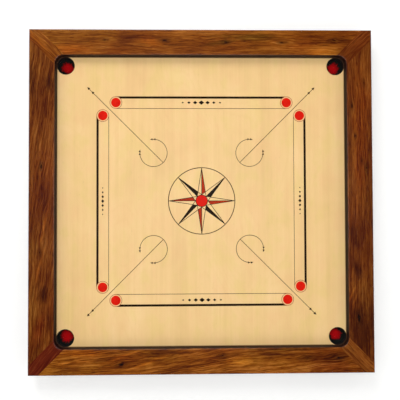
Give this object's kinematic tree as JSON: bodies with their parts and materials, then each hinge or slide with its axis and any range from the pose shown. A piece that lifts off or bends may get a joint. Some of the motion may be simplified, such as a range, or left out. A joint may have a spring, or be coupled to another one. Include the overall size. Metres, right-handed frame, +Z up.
{
  "type": "carrom board",
  "caption": "Square carrom board: raised dark wood frame with diagonal corner keys, pale plywood playing surface with printed lines and star, corner pockets with nets.",
  "frame": {"origin": "centre of the board in plan, at the height of the frame's underside, on which the board rests", "axes": "+Z up out of the playing surface; +Y towards the back rail; +X towards the right rail"},
  "size_m": [0.87, 0.87, 0.05],
  "materials": {
    "rosewood_rail": "satin lacquer over strongly figured rosewood",
    "rosewood_rail_dark": "satin lacquer over darker, knotty rosewood",
    "golden_key": "satin lacquer over golden rosewood sapwood",
    "red_key": "satin lacquer over dark red rosewood",
    "dowel_beech": "bare fluted beech",
    "lacquered_birch_ply": "smooth clear lacquer over birch plywood",
    "sawn_pine": "planed bare pine",
    "zinc_steel": "bright zinc plating",
    "tack_brass": "polished",
    "net_yarn": "black knitted yarn with a red bottom",
    "ring_plastic": "matt black",
    "ink_black": "screen-printed black ink under lacquer",
    "ink_red": "screen-printed red ink under lacquer"
  },
  "bodies": {
    "root": {"rail_back": "rosewood_rail", "rail_left": "rosewood_rail_dark", "rail_front": "rosewood_rail", "rail_right": "rosewood_rail_dark", "corner_key_back_right": "red_key", "corner_key_back_left": "golden_key", "corner_key_front_left": "red_key", "corner_key_front_right": "golden_key", "corner_dowels": "dowel_beech", "playing_panel": "lacquered_birch_ply", "cleat_back": "sawn_pine", "cleat_left": "sawn_pine", "cleat_front": "sawn_pine", "cleat_right": "sawn_pine", "cleat_screws": "zinc_steel", "batten_back": "sawn_pine", "batten_front": "sawn_pine", "batten_left": "sawn_pine", "batten_right": "sawn_pine", "batten_screws": "zinc_steel", "pocket_net_back_right": "net_yarn", "pocket_net_back_left": "net_yarn", "pocket_net_front_left": "net_yarn", "pocket_net_front_right": "net_yarn", "net_ring_back_right": "ring_plastic", "net_ring_back_left": "ring_plastic", "net_ring_front_left": "ring_plastic", "net_ring_front_right": "ring_plastic", "net_tacks": "tack_brass", "base_lines": "ink_black", "base_circle_outlines": "ink_black", "base_circle_discs": "ink_red", "centre_circle": "ink_black", "centre_disc": "ink_red", "star_black": "ink_black", "star_red": "ink_red", "pocket_arrows": "ink_black", "base_line_ornaments": "ink_black"}
  },
  "joints": []
}
